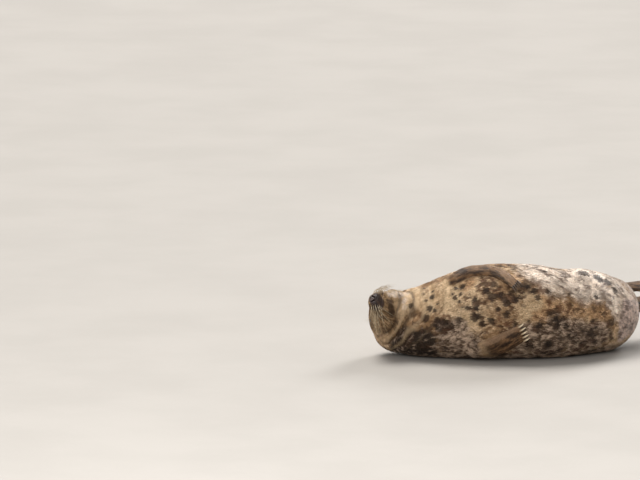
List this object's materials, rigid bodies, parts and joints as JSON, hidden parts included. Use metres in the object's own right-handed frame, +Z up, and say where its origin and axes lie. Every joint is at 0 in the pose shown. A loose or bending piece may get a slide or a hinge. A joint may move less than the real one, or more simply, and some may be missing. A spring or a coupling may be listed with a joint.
{
  "type": "grey seal",
  "caption": "Life-size still model of a grey seal lying on its right side, head raised, back arched, hind flippers trailing.",
  "frame": {"origin": "on the floor, under the middle of the animal's bounding box", "axes": "+Z up; +X from the head towards the rump; +Y towards her back, so the belly faces -Y"},
  "size_m": [1.648, 0.8922, 0.4898],
  "materials": {
    "coat": "short wet-look fur, spotted cream, ochre and dark brown",
    "nose": "moist, finely pebbled skin",
    "eye": "wet, glossy",
    "claw": "worn horn"
  },
  "bodies": {
    "root": {"belly": "coat", "chest": "coat", "eye_left": "eye", "eye_right": "eye", "foreflipper_left": "coat", "foreflipper_left_claw_1": "claw", "foreflipper_left_claw_2": "claw", "foreflipper_left_claw_3": "claw", "foreflipper_left_claw_4": "claw", "foreflipper_left_claw_5": "claw", "foreflipper_right": "coat", "foreflipper_right_claw_1": "claw", "foreflipper_right_claw_2": "claw", "foreflipper_right_claw_3": "claw", "foreflipper_right_claw_4": "claw", "foreflipper_right_claw_5": "claw", "head": "coat", "hindflipper_left": "coat", "hindflipper_left_claw_1": "claw", "hindflipper_left_claw_2": "claw", "hindflipper_left_claw_3": "claw", "hindflipper_left_claw_4": "claw", "hindflipper_left_claw_5": "claw", "hindflipper_right": "coat", "hindflipper_right_claw_1": "claw", "hindflipper_right_claw_2": "claw", "hindflipper_right_claw_3": "claw", "hindflipper_right_claw_4": "claw", "hindflipper_right_claw_5": "claw", "jaw": "coat", "loin": "coat", "neck": "coat", "nose_pad": "nose", "rump": "coat", "tail": "coat"}
  },
  "joints": []
}
